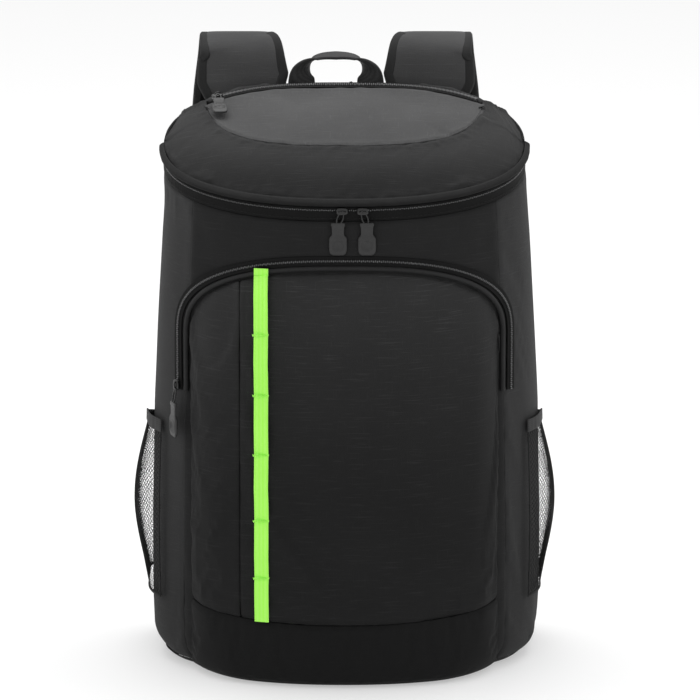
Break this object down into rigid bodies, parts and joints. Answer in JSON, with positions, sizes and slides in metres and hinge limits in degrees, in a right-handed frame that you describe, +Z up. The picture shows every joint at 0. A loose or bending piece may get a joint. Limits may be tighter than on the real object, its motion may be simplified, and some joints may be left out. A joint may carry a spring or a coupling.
{
  "type": "cooler backpack",
  "caption": "Upright insulated backpack with a zipped domed lid, a bulging front pocket with a green webbing strip, net side pockets, a carry handle and padded shoulder straps.",
  "frame": {"origin": "on the floor, under the middle of the whole pack with its straps", "axes": "+Z up, -Y towards the front pocket, +X to the right as seen from the front"},
  "size_m": [0.3466, 0.2454, 0.4982],
  "materials": {
    "body_cloth": "matt woven polyester, near black",
    "lid_cloth": "matt ripstop polyester, charcoal",
    "pocket_cloth": "matt ripstop polyester, near black",
    "boot_cloth": "matt woven polyester, black",
    "binding": "folded cloth binding",
    "zip_tape": "black zip tape with coil teeth",
    "slider_enamel": "black enamel, semi-gloss",
    "puller_plastic": "moulded black rubbery plastic",
    "green_webbing": "ribbed fluorescent green webbing",
    "net": "fine open net",
    "elastic": "flat elastic band",
    "webbing": "woven black webbing",
    "strap_cloth": "padded cloth, charcoal",
    "buckle_plastic": "moulded black plastic"
  },
  "bodies": {
    "root": {"base_panel": "boot_cloth", "boot_panel": "boot_cloth", "front_panel": "body_cloth", "back_panel": "body_cloth", "side_gusset_left": "body_cloth", "side_gusset_right": "body_cloth", "lid_hinge": "body_cloth", "lid_crown": "lid_cloth", "lid_pocket_panel": "lid_cloth", "pocket_panel": "pocket_cloth", "pocket_side_panel": "pocket_cloth", "lid_piping": "binding", "pocket_piping": "binding", "main_zip": "zip_tape", "pocket_zip": "zip_tape", "lid_pocket_zip": "zip_tape", "main_slider_left": "slider_enamel", "main_slider_right": "slider_enamel", "pocket_slider": "slider_enamel", "lid_pocket_slider": "slider_enamel", "main_puller_left": "puller_plastic", "main_puller_right": "puller_plastic", "pocket_puller": "puller_plastic", "lid_pocket_puller": "puller_plastic", "accent_strip": "green_webbing", "side_pocket_left": "net", "side_pocket_right": "net", "side_band_left": "elastic", "side_band_right": "elastic", "carry_handle": "webbing", "lower_strap_left": "webbing", "lower_strap_right": "webbing", "shoulder_strap_left": "strap_cloth", "shoulder_strap_right": "strap_cloth", "strap_buckle_left": "buckle_plastic", "strap_buckle_right": "buckle_plastic"}
  },
  "joints": []
}
